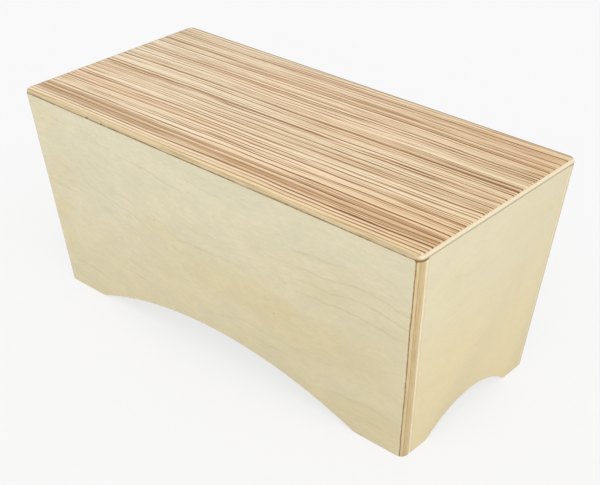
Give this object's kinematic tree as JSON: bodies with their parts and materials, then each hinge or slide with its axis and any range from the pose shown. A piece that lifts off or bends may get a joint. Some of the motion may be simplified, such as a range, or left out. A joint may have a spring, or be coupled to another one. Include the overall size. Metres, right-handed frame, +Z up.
{
  "type": "bongo cajon",
  "caption": "Low wooden box drum with leaning plywood walls on arched feet, a zebrano playing face and a divider between a large and a small chamber.",
  "frame": {"origin": "middle of the footprint, on the surface the feet stand on", "axes": "+X along the length, towards the small chamber; +Y across, towards the back wall; +Z up, out of the playing face"},
  "size_m": [0.4, 0.19, 0.182],
  "materials": {
    "zebrano_veneer": "fine straight dark stripes on a pale brown ground, thin satin lacquer",
    "plate_core": "plywood rim, rounded over and lacquered",
    "long_wall_birch": "birch-faced plywood with faint cathedral grain, satin lacquer, plies bare at the corners",
    "end_wall_birch": "birch-faced plywood, nearly plain, satin lacquer",
    "divider_birch": "bare plywood",
    "softwood": "bare sawn softwood"
  },
  "bodies": {
    "root": {"face_veneer": "zebrano_veneer", "playing_plate": "plate_core", "front_wall": "long_wall_birch", "back_wall": "long_wall_birch", "left_end_wall": "end_wall_birch", "right_end_wall": "end_wall_birch", "chamber_divider": "divider_birch", "batten_left_end": "softwood", "batten_right_end": "softwood", "batten_front_left": "softwood", "batten_front_right": "softwood", "batten_back_left": "softwood", "batten_back_right": "softwood", "corner_block_front_left": "softwood", "corner_block_front_right": "softwood", "corner_block_back_left": "softwood", "corner_block_back_right": "softwood"}
  },
  "joints": []
}
